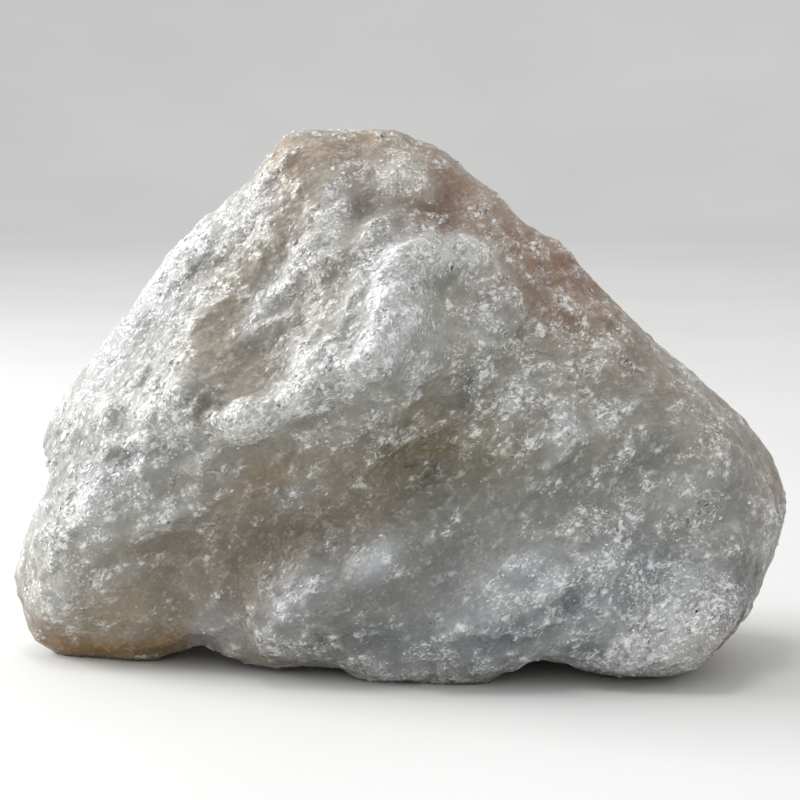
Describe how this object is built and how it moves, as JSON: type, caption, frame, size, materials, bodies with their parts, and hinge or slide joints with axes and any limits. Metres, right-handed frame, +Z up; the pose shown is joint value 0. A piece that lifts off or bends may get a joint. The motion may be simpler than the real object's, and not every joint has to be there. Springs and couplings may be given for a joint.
{
  "type": "talc rock",
  "caption": "Hand-sized natural lump of massive talc, broad and mountain-shaped, with a hummocky sugary front; it stands on worn feet.",
  "frame": {"origin": "on the ground, under the middle of the stone's box", "axes": "+X to the right along the broad front, +Y through the stone from the front to the back, +Z up"},
  "size_m": [0.105, 0.0492, 0.0717],
  "materials": {
    "talc": "sugary, softly pearly broken stone"
  },
  "bodies": {
    "root": {"talc_rock": "talc"}
  },
  "joints": []
}
